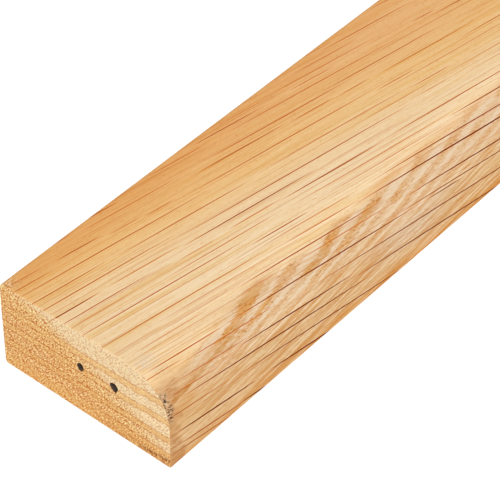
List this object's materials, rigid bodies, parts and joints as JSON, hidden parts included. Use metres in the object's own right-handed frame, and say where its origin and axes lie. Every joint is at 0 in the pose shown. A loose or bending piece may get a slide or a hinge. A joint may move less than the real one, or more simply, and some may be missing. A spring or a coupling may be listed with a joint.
{
  "type": "skirting board",
  "caption": "Solid oak skirting board, a long narrow moulding with a rounded top front edge, flat back and square sawn ends with small pin holes in one end.",
  "frame": {"origin": "middle of the back face, which lies on the floor", "axes": "+X along the board, away from the end with the pin holes; +Y towards the floor edge; +Z out of the back face, towards the front face"},
  "size_m": [2.4, 0.04, 0.02],
  "materials": {
    "oak": "matte"
  },
  "bodies": {
    "root": {"skirting_board": "oak"}
  },
  "joints": []
}
